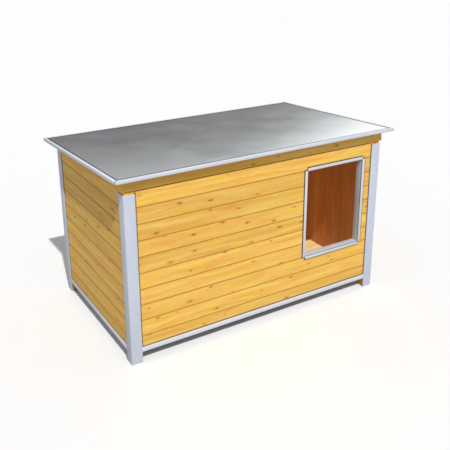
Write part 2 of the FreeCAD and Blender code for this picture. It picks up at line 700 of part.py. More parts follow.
class Hinges:
    """Two butt hinges on the rear: leaf on the wall, leaf on the lid, and pin."""

    CENTRES = {"left": "left + hinge_corner_distance", "right": "right - hinge_corner_distance"}

    def __init__(self, shop):
        self.shop = shop
        self.wall_screws, self.wall_holes = [], []
        self.lid_screws, self.lid_holes = [], []
        outward = FreeCAD.Rotation(X_AXIS, 90)
        for side, centre in self.CENTRES.items():
            for index in range(LEAF_SCREW_COUNT):
                offset = f"({index} - {(LEAF_SCREW_COUNT - 1) / 2}) * hinge_screw_pitch"
                along = f"{centre} + {offset}"
                screw, hole = shop.pair(f"hinge_{side}_wall_screw_{index}", (
                    along, "wall_back + hinge_leaf_wall", "axis_height - leaf_screw"), outward)
                self.wall_screws.append(screw)
                self.wall_holes.append(hole)
                screw, hole = shop.pair(f"hinge_{side}_lid_screw_{index}", (
                    along, "frame_back + hinge_leaf_wall", "axis_rise + leaf_screw"), outward)
                self.lid_screws.append(screw)
                self.lid_holes.append(hole)
        self.wall_tool = group("hinge_wall_holes", self.wall_holes)
        self.lid_tool = on_lid(group("hinge_lid_holes", self.lid_holes))

    def leaf(self, name, centre, own_knuckles, back, axis, sign):
        """One leaf: a plate with tabs that run into its knuckles, bored for the pin.

        back is the plane that the plate lies on, axis the pin's (depth, height), and sign
        is 1 for a plate that stands up from the pin and -1 for one that hangs down.
        """
        depth, height = axis
        plate_y = (back, f"{back} + hinge_leaf_wall")

        def rise(near, far):
            if sign > 0:
                return (f"{height} + {near}", f"{height} + {far}")
            return (f"{height} - ({far})", f"{height} - ({near})")

        half = "hinge_length / 2"
        parts = [box(name + "_plate", (f"{centre} - {half}", f"{centre} + {half}"), plate_y,
                     rise("leaf_edge", "leaf_end"))]
        for index, (low, high) in enumerate(own_knuckles):
            span = (f"{centre} + {low}", f"{centre} + {high}")
            parts.append(box(f"{name}_tab_{index}", span, plate_y, rise("0", "leaf_edge")))
            parts.append(cylinder(f"{name}_knuckle_{index}", "knuckle_radius",
                                  f"({high}) - ({low})", (span[0], depth, height), ALONG_X))
        bore = cylinder(name + "_bore", "pin_radius + pin_play", "2 * hinge_length",
                        (f"{centre} - hinge_length", depth, height), ALONG_X)
        return cut(name + "_bored", fuse(name + "_blank", parts), bore)

    def build(self):
        """All hinge pieces as sub-parts."""
        third = "hinge_length / 6"
        end = "hinge_length / 2"
        outer = [(f"0 - {end}", f"0 - {third} - knuckle_play"),
                 (f"{third} + knuckle_play", end)]
        middle = [(f"0 - {third}", third)]
        for side, centre in self.CENTRES.items():
            wall = self.leaf(f"hinge_{side}_wall", centre, outer, "wall_back",
                             ("axis_depth", "axis_height"), -1)
            node(cut(f"hinge_{side}_wall_drilled", wall, self.wall_tool),
                 f"hinge_{side}_wall_leaf")
            lid = self.leaf(f"hinge_{side}_lid", centre, middle, "frame_back",
                            ("axis_run", "axis_rise"), 1)
            lid = on_lid(group(f"hinge_{side}_lid_seated", [lid]))
            node(cut(f"hinge_{side}_lid_drilled", lid, self.lid_tool), f"hinge_{side}_lid_leaf")
            node(cylinder(f"hinge_{side}_pin", "pin_radius", "hinge_length",
                          (f"{centre} - {end}", "axis_depth", "axis_height"), ALONG_X),
                 f"hinge_{side}_pin")
        node(group("hinge_wall_screws", self.wall_screws), "hinge_wall_screws")
        node(on_lid(group("hinge_lid_screws", self.lid_screws)), "hinge_lid_screws")


def check_and_export():
    """Stop on any failed object or bad solid, then write one STEP file per sub-part."""
    DOC.recompute()
    failed = [item.Label for item in DOC.Objects
              if any(state in ("Invalid", "Error") for state in item.State)]
    if failed:
        raise RuntimeError("objects failed: " + ", ".join(failed))
    for item in NODES:
        shape = item.Shape
        if shape.isNull() or not shape.isValid() or not shape.Solids:
            raise RuntimeError("bad shape in " + item.Label)
    os.makedirs("parts", exist_ok=True)
    for item in NODES:
        item.Shape.exportStep(os.path.join("parts", item.Label + ".step"))
        print(f"{item.Label}: {len(item.Shape.Solids)} solids, "
              f"{item.Shape.Volume / 1000:.1f} cm3")


def main():
    """Build the whole dog house."""
    fill_sheet()
    cutters = Cutters()
    shop = ScrewShop()
    hinges = Hinges(shop)
    build_corners(cutters)
    build_walls(cutters, hinges.wall_tool)
    build_base_trims()
    build_door_channels()
    build_floor(cutters)
    build_seal()
    build_lid_frame(hinges.lid_tool)
    build_roof()
    hinges.build()
    check_and_export()


main()
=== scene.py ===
"""Looks of an insulated dog house: glazed spruce boards, satin aluminium edges, metal roof lid."""

import json
import logging
import math
from dataclasses import dataclass
from enum import Enum
from typing import Any, Iterable, Mapping, Sequence

import bmesh
import bpy
from mathutils import Euler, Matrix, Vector

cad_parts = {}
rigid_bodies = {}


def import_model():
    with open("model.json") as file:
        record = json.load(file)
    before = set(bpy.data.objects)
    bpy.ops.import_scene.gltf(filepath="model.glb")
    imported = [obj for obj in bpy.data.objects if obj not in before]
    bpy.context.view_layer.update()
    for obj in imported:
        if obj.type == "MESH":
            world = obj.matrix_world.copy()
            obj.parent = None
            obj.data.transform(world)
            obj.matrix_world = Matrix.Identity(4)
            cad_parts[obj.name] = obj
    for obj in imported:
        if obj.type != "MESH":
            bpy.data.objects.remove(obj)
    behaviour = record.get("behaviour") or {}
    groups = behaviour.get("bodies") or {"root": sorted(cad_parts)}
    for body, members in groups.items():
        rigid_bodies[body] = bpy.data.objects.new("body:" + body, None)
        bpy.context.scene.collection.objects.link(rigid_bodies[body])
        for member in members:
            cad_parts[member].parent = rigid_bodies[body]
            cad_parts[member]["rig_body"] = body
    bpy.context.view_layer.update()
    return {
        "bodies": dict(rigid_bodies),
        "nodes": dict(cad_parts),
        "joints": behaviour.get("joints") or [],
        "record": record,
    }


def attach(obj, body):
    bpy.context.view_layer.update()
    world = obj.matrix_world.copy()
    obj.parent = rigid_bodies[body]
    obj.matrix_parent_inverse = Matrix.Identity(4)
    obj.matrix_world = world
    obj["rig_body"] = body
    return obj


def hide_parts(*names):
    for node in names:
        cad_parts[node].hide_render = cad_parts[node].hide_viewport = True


LOG = logging.getLogger("dog_house")
MM = 0.001
SIDES = ("front", "right", "rear", "left")
CORNERS = ("front_left", "front_right", "rear_right", "rear_left")
# Nearly all values of a noise texture lie between these two.
NOISE_LOW, NOISE_HIGH = 0.3, 0.7


class Run(Enum):
    """The way the grain or the length of a piece runs; each value names the axes in order."""

    LONG = ("X", "Z", "Y")
    DEEP = ("Y", "Z", "X")
    UPRIGHT = ("Z", "X", "Y")
    UPRIGHT_SIDE = ("Z", "Y", "X")
    FLAT = ("X", "Y", "Z")


# ---------------------------------------------------------------------------------------
# Colour and nodes
# ---------------------------------------------------------------------------------------


def linear(hex_code: str) -> tuple[float, float, float, float]:
    """Turn an sRGB hex colour to linear light.

    Args:
        hex_code: Six hex digits.

    Returns:
        Linear red, green, blue, and an alpha of 1.
    """
    parts = [int(hex_code[i:i + 2], 16) / 255 for i in (0, 2, 4)]
    flat = [c / 12.92 if c <= 0.04045 else ((c + 0.055) / 1.055) ** 2.4 for c in parts]
    return (flat[0], flat[1], flat[2], 1.0)


def grey(value: float) -> tuple[float, float, float, float]:
    """A grey of one linear value."""
    return (value, value, value, 1.0)


def add_node(
    tree: bpy.types.NodeTree,
    kind: str,
    links: Mapping[Any, Any] | None = None,
    stops: Sequence[tuple[float, Any]] = (),
    **settings: Any,
) -> bpy.types.Node:
    """Add one node with its settings and links.

    Args:
        tree: The node tree to add to.
        kind: The node's type, without "ShaderNode".
        links: Input name or number to a plain value or to the socket that feeds it.
        stops: Places and colours of a colour ramp's stops.
        **settings: The node's own properties.

    Returns:
        The new node.
    """
    node = tree.nodes.new("ShaderNode" + kind)
    for name, value in settings.items():
        setattr(node, name, value)
    for index, (place, colour) in enumerate(stops):
        elements = node.color_ramp.elements
        stop = elements[index] if index < len(elements) else elements.new(place)
        stop.position = place
        stop.color = colour
    for key, value in (links or {}).items():
        if isinstance(value, bpy.types.NodeSocket):
            tree.links.new(value, node.inputs[key])
        else:
            node.inputs[key].default_value = value
    return node


def calc(tree: bpy.types.NodeTree, operation: str, *values: Any) -> bpy.types.NodeSocket:
    """Work out one number from sockets and plain numbers."""
    return add_node(tree, "Math", dict(enumerate(values)), operation=operation).outputs[0]


def remap(
    tree: bpy.types.NodeTree, value: Any, start: Any, end: Any,
    to_start: float = 0.0, to_end: float = 1.0, smooth: bool = False,
) -> bpy.types.NodeSocket:
    """Carry a value from one span to another and hold it at both ends.

    Args:
        tree: The node tree.
        value: What is carried over.
        start, end: The span that it comes from.
        to_start, to_end: The span that it goes to.
        smooth: Whether it eases in and out.

    Returns:
        The new value.
    """
    return add_node(
        tree, "MapRange",
        {"Value": value, "From Min": start, "From Max": end, "To Min": to_start,
         "To Max": to_end},
        interpolation_type="SMOOTHSTEP" if smooth else "LINEAR").outputs[0]


def blend(
    tree: bpy.types.NodeTree, share: Any, first: Any, second: Any, mode: str = "MIX"
) -> bpy.types.NodeSocket:
    """Mix two colours by a share, from 0 for the first to 1 for the second."""
    return add_node(tree, "Mix", {0: share, 6: first, 7: second},
                    data_type="RGBA", blend_type=mode).outputs[2]


def noise(
    tree: bpy.types.NodeTree, spot: bpy.types.NodeSocket,
    scale: float | tuple[float, float, float], detail: float, roughness: float = 0.5,
    distortion: float = 0.0,
) -> bpy.types.NodeSocket:
    """A noise pattern over coordinates in metres.

    Args:
        tree: The node tree.
        spot: The coordinates.
        scale: Cells per metre, as one number or as one for each axis.
        detail: How many finer layers are added.
        roughness: How strong the finer layers are.
        distortion: How much the pattern is bent.

    Returns:
        The pattern's value.
    """
    if isinstance(scale, tuple):
        spot = add_node(tree, "Mapping", {"Vector": spot, "Scale": scale}).outputs[0]
        scale = 1.0
    return add_node(tree, "TexNoise", {
        "Vector": spot, "Scale": scale, "Detail": detail, "Roughness": roughness,
        "Distortion": distortion}).outputs["Fac"]


# ---------------------------------------------------------------------------------------
# Finishes
# ---------------------------------------------------------------------------------------


@dataclass(frozen=True)
class Finish:
    """What every finish shares: a name and plain shader numbers.

    Attributes:
        name: The material's name.
        roughness: Its mean roughness.
        metallic: 0 for a coated or organic surface, 1 for bare metal.
        ior: Index of refraction of what isn't metal.
        gloss: Specular level of what isn't metal, 0.5 for a closed surface, less for open grain.
    """

    name: str
    roughness: float = 0.5
    metallic: float = 0.0
    ior: float = 1.5
    gloss: float = 0.5

    def surface(self) -> tuple[bpy.types.Material, bpy.types.NodeTree, bpy.types.Node]:
        """Start the material.

        Returns:
            The material, its node tree and its Principled shader.
        """
        material = bpy.data.materials.new(self.name)
        material.use_nodes = True
        tree = material.node_tree
        shader = tree.nodes["Principled BSDF"]
        shader.inputs["Roughness"].default_value = self.roughness
        shader.inputs["Metallic"].default_value = self.metallic
        shader.inputs["IOR"].default_value = self.ior
        shader.inputs["Specular IOR Level"].default_value = self.gloss
        return material, tree, shader

    def axes(self, tree: bpy.types.NodeTree, run: Run) -> dict[str, bpy.types.NodeSocket]:
        """Split Object coordinates, in metres, and name them by the piece's run.

        Args:
            tree: The node tree.
            run: The way the piece runs.

        Returns:
            Sockets "along", "across" and "deep", these three as one "spot", and "X", "Y", "Z".
        """
        place = add_node(tree, "TexCoord").outputs["Object"]
        split = add_node(tree, "SeparateXYZ", {0: place})
        named = dict(zip(("along", "across", "deep"), (split.outputs[a] for a in run.value)))
        named["spot"] = add_node(
            tree, "CombineXYZ", dict(enumerate(list(named.values())))).outputs[0]
        named.update({a: split.outputs[a] for a in "XYZ"})
        return named

    def vary(
        self, tree: bpy.types.NodeTree, shader: bpy.types.Node, pattern: Any, spread: float
    ) -> None:
        """Let a noise pattern move the roughness by up to a spread to either side."""
        rough = remap(tree, pattern, NOISE_LOW, NOISE_HIGH,
                      self.roughness - spread, self.roughness + spread)
        tree.links.new(rough, shader.inputs["Roughness"])

    def ridge(
        self, tree: bpy.types.NodeTree, shader: bpy.types.Node, height: Any,
        rise_mm: float, strength: float,
    ) -> None:
        """Feed a height pattern to the shader's normal as a bump."""
        bump = add_node(tree, "Bump", {
            "Height": height, "Strength": strength, "Distance": rise_mm * MM})
        tree.links.new(bump.outputs["Normal"], shader.inputs["Normal"])


@dataclass(frozen=True)
class Softwood(Finish):
    """Planed spruce or pine: pale earlywood with darker lines along the grain, and knots.

    Attributes:
        run: The way the grain runs.
        pale, mid, deep: The wood's lighter, main and darker colours.
        knot, knot_rim: The colours of a knot's heart and of the wood round it.
        strip_mm: Width of one board or stave across the grain; 0 for a single piece.
        strip_start_mm: Where the first board or stave starts.
        ring_mm: Width of a growth line, drawn coarser than the real 2 mm so that it shows.
        knot_every_mm: Mean distance between knots along the grain.
        knot_flatness: How wide a knot is for its length.
        knot_gaps: Share of the places for a knot that stay clear.
        tone_spread: How much the boards differ in tone.
        joint: The colour of the dark line where two boards or staves meet.
        joint_mm: The half width of that line.
    """

    roughness: float = 0.6
    ior: float = 1.46
    gloss: float = 0.15
    run: Run = Run.LONG
    pale: str = "F5D075"
    mid: str = "EEBF62"
    deep: str = "E4AC50"
    knot: str = "855822"
    knot_rim: str = "C8862F"
    strip_mm: float = 0.0
    strip_start_mm: float = 0.0
    ring_mm: float = 9.0
    knot_every_mm: float = 125.0
    knot_flatness: float = 0.38
    knot_gaps: float = 0.42
    tone_spread: float = 0.12
    joint: str = "C18C3A"
    joint_mm: float = 2.6

    def material(self) -> bpy.types.Material:
        """Build the wood's material."""
        material, tree, shader = self.surface()
        axes = self.axes(tree, self.run)
        colour, height = self.figure(tree, axes)
        colour = self.lines(tree, axes, colour)
        tree.links.new(colour, shader.inputs["Base Color"])
        self.vary(tree, shader, height, 0.08)
        self.ridge(tree, shader, height, 0.35, 0.35)
        return material

    def figure(
        self, tree: bpy.types.NodeTree, axes: dict[str, bpy.types.NodeSocket]
    ) -> tuple[bpy.types.NodeSocket, bpy.types.NodeSocket]:
        """Grain, tone of each board, blotches, knots and joints.

        Returns:
            The colour and the height of the surface.
        """
        # Each board takes its part of the pattern from another place along the grain.
        rows, row = None, 3.0
        if self.strip_mm:
            start = calc(tree, "SUBTRACT", axes["across"], self.strip_start_mm * MM)
            rows = calc(tree, "DIVIDE", start, self.strip_mm * MM)
            row = calc(tree, "FLOOR", rows)
        chance = add_node(tree, "TexWhiteNoise", {"W": row}, noise_dimensions="1D")
        shift = calc(tree, "MULTIPLY", chance.outputs["Value"], 9.0)
        along = calc(tree, "ADD", axes["along"], shift)
        colour, height = self.grain(tree, axes, along)
        colour = self.toned(tree, axes, along, colour, chance.outputs["Color"])
        colour = self.knotted(tree, axes, along, colour)
        if rows is not None:
            from_joint = calc(tree, "PINGPONG", calc(tree, "FRACT", rows), 0.5)
            reach = self.joint_mm / self.strip_mm
            line = remap(tree, from_joint, reach * 1.35, reach * 0.65, smooth=True)
            colour = blend(tree, line, colour, linear(self.joint))
        return colour, height

    def grain(
        self, tree: bpy.types.NodeTree, axes: dict[str, bpy.types.NodeSocket],
        along: bpy.types.NodeSocket,
    ) -> tuple[bpy.types.NodeSocket, bpy.types.NodeSocket]:
        """Bands that wander a little, much longer than they are wide, and fine fibres.

        Returns:
            The colour and the height of the surface.
        """
        spot = add_node(tree, "CombineXYZ", {0: along, 1: axes["across"], 2: axes["deep"]})
        wander = noise(tree, spot.outputs[0], (3.2, 14.0, 14.0), 2.0)
        bent = calc(tree, "MULTIPLY_ADD", wander, 0.05, axes["across"])
        spot = add_node(tree, "CombineXYZ", {0: along, 1: bent, 2: axes["deep"]})
        rings = noise(tree, spot.outputs[0], (2.2, 1000 / self.ring_mm / 2, 25.0), 3.0, 0.55)
        fibre = noise(tree, spot.outputs[0], (18.0, 330.0, 330.0), 2.0, 0.6)
        wood = add_node(tree, "ValToRGB", {"Fac": rings}, stops=(
            (0.28, linear(self.deep)), (0.50, linear(self.mid)), (0.72, linear(self.pale))))
        fibre_tone = remap(tree, fibre, NOISE_LOW, NOISE_HIGH, 0.94, 1.05)
        colour = blend(tree, 1.0, wood.outputs["Color"], fibre_tone, "MULTIPLY")
        height = calc(tree, "MULTIPLY_ADD", rings, 0.5, calc(tree, "MULTIPLY", fibre, 0.5))
        return colour, height

    def toned(
        self, tree: bpy.types.NodeTree, axes: dict[str, bpy.types.NodeSocket],
        along: bpy.types.NodeSocket, colour: bpy.types.NodeSocket,
        chance: bpy.types.NodeSocket,
    ) -> bpy.types.NodeSocket:
        """Give each board its own tone, and let wide blotches warm or cool it."""
        draw = add_node(tree, "SeparateColor", {0: chance}).outputs[1]
        tone = remap(tree, draw, 0.0, 1.0, 1.0 - self.tone_spread, 1.0 + self.tone_spread / 2)
        colour = blend(tree, 1.0, colour, tone, "MULTIPLY")
        spot = add_node(tree, "CombineXYZ", {0: along, 1: axes["across"], 2: axes["deep"]})
        blotch = noise(tree, spot.outputs[0], (7.0, 22.0, 22.0), 3.0, 0.55)
        warmth = add_node(tree, "ValToRGB", {"Fac": blotch}, stops=(
            (0.30, linear("FFECD2")), (0.5, linear("FFFDF6")), (0.70, linear("FFFFCA"))))
        return blend(tree, 0.8, colour, warmth.outputs["Color"], "MULTIPLY")

    def knotted(
        self, tree: bpy.types.NodeTree, axes: dict[str, bpy.types.NodeSocket],
        along: bpy.types.NodeSocket, colour: bpy.types.NodeSocket,
    ) -> bpy.types.NodeSocket:
        """Add knots: small ovals along the grain, each with a darker heart and a warm rim."""
        pitch = self.knot_every_mm * MM
        cells = add_node(tree, "CombineXYZ", {
            0: calc(tree, "DIVIDE", along, pitch),
            1: calc(tree, "DIVIDE", axes["across"], pitch * self.knot_flatness)})
        knots = add_node(tree, "TexVoronoi", {
            "Vector": cells.outputs[0], "Scale": 1.0, "Randomness": 1.0},
            voronoi_dimensions="2D")
        away = knots.outputs["Distance"]
        draw = add_node(tree, "SeparateColor", {0: knots.outputs["Color"]})
        size = remap(tree, draw.outputs[0], self.knot_gaps, 1.0, 0.045, 0.115)
        reach = calc(tree, "MULTIPLY", size,
                     calc(tree, "GREATER_THAN", draw.outputs[0], self.knot_gaps))
        rim = remap(tree, away, calc(tree, "MULTIPLY", reach, 2.1), 0.0, smooth=True)
        heart = remap(tree, away, reach, calc(tree, "MULTIPLY", reach, 0.25), smooth=True)
        colour = blend(tree, calc(tree, "MULTIPLY", rim, 0.6), colour, linear(self.knot_rim))
        depth = remap(tree, draw.outputs[1], 0.0, 1.0, 0.3, 0.85)
        return blend(tree, calc(tree, "MULTIPLY", heart, depth), colour, linear(self.knot))

    def lines(
        self, tree: bpy.types.NodeTree, axes: dict[str, bpy.types.NodeSocket],
        colour: bpy.types.NodeSocket,
    ) -> bpy.types.NodeSocket:
        """Colour with the painted shade lines along metal edges; plain wood has none."""
        return colour


@dataclass(frozen=True)
class Cladding(Softwood):
    """Glazed boards, with a painted shade line beside each metal edge.

    Attributes:
        half_run_mm: Distance from the wall's middle to the corner angle's edge.
        run_middle_mm: Where the wall's middle lies along the run.
        trim_top_mm: Height of the base trim's upper edge.
        angle_top_mm: Height of the angles' upper ends, where the run is 0.
        fall: How much lower the angles end per length of run.
        far_angle_high: Whether the angle at the run's far end reaches past the boards' top.
        face_y_mm: Where the outer face lies, if only that face has the lower line.
        openings_mm: Rectangles that metal covers: middle and half size, along and up.
        painted_shade: The colour of the line.
        painted_shade_mm: Its width.
    """

    roughness: float = 0.52
    gloss: float = 0.2
    half_run_mm: float = 555.0
    run_middle_mm: float = 0.0
    trim_top_mm: float = 65.0
    angle_top_mm: float = 686.0
    fall: float = 0.0
    far_angle_high: bool = False
    face_y_mm: float = 0.0
    openings_mm: tuple[tuple[float, float, float, float], ...] = ()
    painted_shade: str = "48413A"
    painted_shade_mm: float = 5.0

    def lines(
        self, tree: bpy.types.NodeTree, axes: dict[str, bpy.types.NodeSocket],
        colour: bpy.types.NodeSocket,
    ) -> bpy.types.NodeSocket:
        """Paint a shade line on the boards beside the angles, the base trim and the doorway's
        channels.
        """
        along = calc(tree, "SUBTRACT", axes["along"], self.run_middle_mm * MM)
        clear = calc(tree, "SUBTRACT", self.half_run_mm * MM, calc(tree, "ABSOLUTE", along))
        above = calc(tree, "SUBTRACT", axes["Z"], self.trim_top_mm * MM)
        if self.face_y_mm:
            behind = calc(tree, "SUBTRACT", axes["Y"], self.face_y_mm * MM)
            above = calc(tree, "MAXIMUM", above, behind)
        level = calc(tree, "MULTIPLY_ADD", axes["along"], self.fall, axes["Z"])
        over = calc(tree, "SUBTRACT", level, self.angle_top_mm * MM)
        if self.far_angle_high:
            over = calc(tree, "MINIMUM", over, calc(tree, "MULTIPLY", along, -1.0))
        nearest = calc(tree, "MINIMUM", calc(tree, "MAXIMUM", clear, over), above)
        for middle, rise, half_run, half_rise in self.openings_mm:
            beside = calc(tree, "ABSOLUTE", calc(tree, "SUBTRACT", axes["along"], middle * MM))
            level = calc(tree, "ABSOLUTE", calc(tree, "SUBTRACT", axes["Z"], rise * MM))
            out = calc(tree, "MAXIMUM",
                       calc(tree, "SUBTRACT", beside, half_run * MM),
                       calc(tree, "SUBTRACT", level, half_rise * MM))
            nearest = calc(tree, "MINIMUM", nearest, out)
        # Painted shade: the boards darken in a thin line along each metal edge.
        line = remap(tree, nearest, self.painted_shade_mm * 1.3 * MM, self.painted_shade_mm * 0.35 * MM)
        return blend(tree, line, colour, linear(self.painted_shade))


@dataclass(frozen=True)
class Plywood(Finish):
    """Rotary-cut veneer: broad wandering figure along the grain under a thin film or bare.

    Attributes:
        run: The way the face grain runs.
        pale, deep: The veneer's colours.
        band_mm: Width of a figure band.
    """

    roughness: float = 0.38
    run: Run = Run.UPRIGHT
    pale: str = "B66A32"
    deep: str = "9D5725"
    band_mm: float = 26.0

    def material(self) -> bpy.types.Material:
        """Build the plywood's material."""
        material, tree, shader = self.surface()
        spot = self.axes(tree, self.run)["spot"]
        band = 1000 / self.band_mm / 2
        figure = noise(tree, spot, (1.6, band, band), 4.0, 0.6, 0.5)
        pores = noise(tree, spot, (22.0, 260.0, 260.0), 2.0, 0.6)
        veneer = add_node(tree, "ValToRGB", {"Fac": figure}, stops=(
            (0.30, linear(self.deep)), (0.70, linear(self.pale))))
        pore_tone = remap(tree, pores, NOISE_LOW, NOISE_HIGH, 0.86, 1.10)
        colour = blend(tree, 1.0, veneer.outputs["Color"], pore_tone, "MULTIPLY")
        tree.links.new(colour, shader.inputs["Base Color"])
        self.vary(tree, shader, pores, 0.06)
        self.ridge(tree, shader, pores, 0.2, 0.25)
        return material


@dataclass(frozen=True)
class SatinAluminium(Finish):
    """Anodised aluminium section: an even pale surface with faint drawing lines.

    Attributes:
        run: The way the section was drawn.
        tint: The metal's colour.
        line_mm: Spacing of the drawing lines, drawn coarser than the real 0.1 mm.
        crease_y_mm: Where the front flange lies, if painted shade darkens the crease behind it.
        crease_mm: Depth of that painted shade line.
        mitre_mm: How much farther an eave lies from the middle along X than along Y, if a dark
        line runs along the mitres.
        mitre_line_mm: Half width of the dark line in the mitres.
        crease_shade_and_mitre_line: The colour of both lines.
    """

    roughness: float = 0.42
    metallic: float = 0.15
    run: Run = Run.LONG
    tint: str = "DFE1E8"
    line_mm: float = 1.5
    crease_y_mm: float = 0.0
    crease_mm: float = 7.0
    mitre_mm: float = 0.0
    mitre_line_mm: float = 1.2
    crease_shade_and_mitre_line: str = "6C7484"

    def material(self) -> bpy.types.Material:
        """Build the metal's material."""
        material, tree, shader = self.surface()
        axes = self.axes(tree, self.run)
        lines = 1000 / self.line_mm / 2
        drawn = noise(tree, axes["spot"], (3.0, lines, lines), 1.0)
        cloud = noise(tree, axes["spot"], (5.0, 14.0, 14.0), 2.0)
        tone = remap(tree, cloud, NOISE_LOW, NOISE_HIGH, 0.955, 1.03)
        colour = blend(tree, 1.0, linear(self.tint), tone, "MULTIPLY")
        # Painted shade: the web darkens in the crease behind the front flange.
        if self.crease_y_mm:
            facing = add_node(tree, "SeparateXYZ", {
                0: add_node(tree, "TexCoord").outputs["Normal"]}).outputs["Y"]
            turned = calc(tree, "LESS_THAN", calc(tree, "ABSOLUTE", facing), 0.5)
            depth = calc(tree, "SUBTRACT", axes["Y"], self.crease_y_mm * MM)
            behind = remap(tree, depth, self.crease_mm * MM, self.crease_mm * 0.6 * MM)
            share = calc(tree, "MULTIPLY", turned, behind)
            colour = blend(tree, share, colour, linear(self.crease_shade_and_mitre_line))
        if self.mitre_mm:
            off = calc(tree, "SUBTRACT", calc(tree, "ABSOLUTE", axes["X"]),
                       calc(tree, "ABSOLUTE", axes["Y"]))
            off = calc(tree, "ABSOLUTE", calc(tree, "SUBTRACT", off, self.mitre_mm * MM))
            seam = remap(tree, off, self.mitre_line_mm * 2 * MM, self.mitre_line_mm * MM)
            colour = blend(tree, seam, colour, linear(self.crease_shade_and_mitre_line))
        tree.links.new(colour, shader.inputs["Base Color"])
        self.vary(tree, shader, drawn, 0.05)
        self.ridge(tree, shader, drawn, 0.03, 0.2)
        return material


@dataclass(frozen=True)
class RoofSheet(Finish):
    """Flat metal sheet: satin, a little uneven, with a painted shade line at the edge trims.

    Attributes:
        tint: The sheet's colour.
        half_width_mm, half_depth_mm: From the middle to the trims' inner edges.
        seam: The colour of the painted shade line.
        edge_shade_mm: Its width at the sides.
        front_edge_shade_mm: Its width at the front and the rear.
        wave_mm: Length of the sheet's gentle waves.
    """

    roughness: float = 0.105
    metallic: float = 1.0
    tint: str = "CBCFD1"
    half_width_mm: float = 631.0
    half_depth_mm: float = 388.0
    seam: str = "343B46"
    edge_shade_mm: float = 8.0
    front_edge_shade_mm: float = 12.0
    wave_mm: float = 260.0

    def material(self) -> bpy.types.Material:
        """Build the sheet's material."""
        material, tree, shader = self.surface()
        axes = self.axes(tree, Run.FLAT)
        cloud = noise(tree, axes["spot"], 5.0, 3.0, 0.55)
        tone = remap(tree, cloud, NOISE_LOW, NOISE_HIGH, 0.94, 1.05)
        colour = blend(tree, 1.0, linear(self.tint), tone, "MULTIPLY")
        # Painted shade: a dark line on the sheet along the trims' inner edges, wider at the front
        # and the rear.
        sides = calc(tree, "SUBTRACT", self.half_width_mm * MM,
                     calc(tree, "ABSOLUTE", axes["X"]))
        ends = calc(tree, "SUBTRACT", self.half_depth_mm * MM,
                    calc(tree, "ABSOLUTE", axes["Y"]))
        ends = calc(tree, "MULTIPLY", ends, self.edge_shade_mm / self.front_edge_shade_mm)
        inside = calc(tree, "MINIMUM", sides, ends)
        line = remap(tree, inside, self.edge_shade_mm * 1.2 * MM, self.edge_shade_mm * 0.75 * MM)
        colour = blend(tree, line, colour, linear(self.seam))
        tree.links.new(colour, shader.inputs["Base Color"])
        self.vary(tree, shader, cloud, 0.025)
        waves = noise(tree, axes["spot"], 1000 / self.wave_mm, 1.0)
        self.ridge(tree, shader, waves, 1.2, 0.12)
        return material


@dataclass(frozen=True)
class ZincSteel(Finish):
    """Zinc-plated steel: bluish grey with soft spots and a fine grit.

    Attributes:
        tint, dull: The plating's colour and that of its duller spots.
        spot_mm: Size of the cloudy spots.
        grit_mm: Size of the grit, drawn coarser than the real 0.1 mm.
    """

    roughness: float = 0.38
    metallic: float = 1.0
    tint: str = "B9BCBF"
    dull: str = "9A9C98"
    spot_mm: float = 6.0
    grit_mm: float = 0.625

    def material(self) -> bpy.types.Material:
        """Build the plated steel's material."""
        material, tree, shader = self.surface()
        spot = self.axes(tree, Run.FLAT)["spot"]
        cloud = noise(tree, spot, 1000 / self.spot_mm, 3.0)
        grit = noise(tree, spot, 1000 / self.grit_mm, 1.0)
        colour = blend(tree, cloud, linear(self.tint), linear(self.dull))
        tree.links.new(colour, shader.inputs["Base Color"])
        self.vary(tree, shader, cloud, 0.08)
        self.ridge(tree, shader, grit, 0.02, 0.3)
        return material


@dataclass(frozen=True)
class Cellular(Finish):
    """Foam, sponge strip or pressed fibre: small cells or fibres over a plain colour.

    Attributes:
        pale, deep: The two colours that the cells mix.
        cell_mm: Size of a cell.
        stretch: How much longer than wide the cells are along X.
    """

    pale: str = "F1EFE6"
    deep: str = "DAD6C8"
    cell_mm: float = 3.0
    stretch: float = 1.0

    def material(self) -> bpy.types.Material:
        """Build the material."""
        material, tree, shader = self.surface()
        spot = self.axes(tree, Run.FLAT)["spot"]
        scale = 1000 / self.cell_mm
        packed = add_node(tree, "Mapping", {
            "Vector": spot, "Scale": (scale / self.stretch, scale, scale)})
        cells = add_node(tree, "TexVoronoi", {
            "Vector": packed.outputs[0], "Scale": 1.0}).outputs["Distance"]
        cloud = noise(tree, spot, 30.0, 3.0)
        share = calc(tree, "MULTIPLY_ADD", cloud, 0.5, calc(tree, "MULTIPLY", cells, 0.5))
        colour = blend(tree, share, linear(self.pale), linear(self.deep))
        tree.links.new(colour, shader.inputs["Base Color"])
        self.vary(tree, shader, cloud, 0.05)
        self.ridge(tree, shader, cells, 0.5, 0.5)
        return material


# The wall's boards are glazed a golden yellow, and the rest of the timber is the same
# wood without the joints.
BOARD_MM = 65.0
WALL_START_MM = 47.0
FRONT_CLADDING = Cladding(
    "glazed_spruce_boards_front", strip_mm=BOARD_MM, strip_start_mm=WALL_START_MM,
    openings_mm=((358.0, 437.0, 160.7, 194.7), (358.0, 437.0, 147.4, 205.7)))
REAR_CLADDING = Cladding(
    "glazed_spruce_boards_rear", strip_mm=BOARD_MM, strip_start_mm=WALL_START_MM,
    angle_top_mm=646.7)
SIDE_CLADDING = Cladding(
    "glazed_spruce_boards_side", run=Run.DEEP, strip_mm=BOARD_MM,
    strip_start_mm=WALL_START_MM, half_run_mm=312.5, run_middle_mm=-5.0,
    angle_top_mm=665.9, fall=0.0554, far_angle_high=True)
TIMBER_LONG = Softwood("planed_spruce_long")
TIMBER_DEEP = Softwood("planed_spruce_deep", run=Run.DEEP)
TIMBER_UP = Softwood("planed_spruce_upright", run=Run.UPRIGHT, pale="EDBB63", mid="E0A850",
                     deep="D09743")
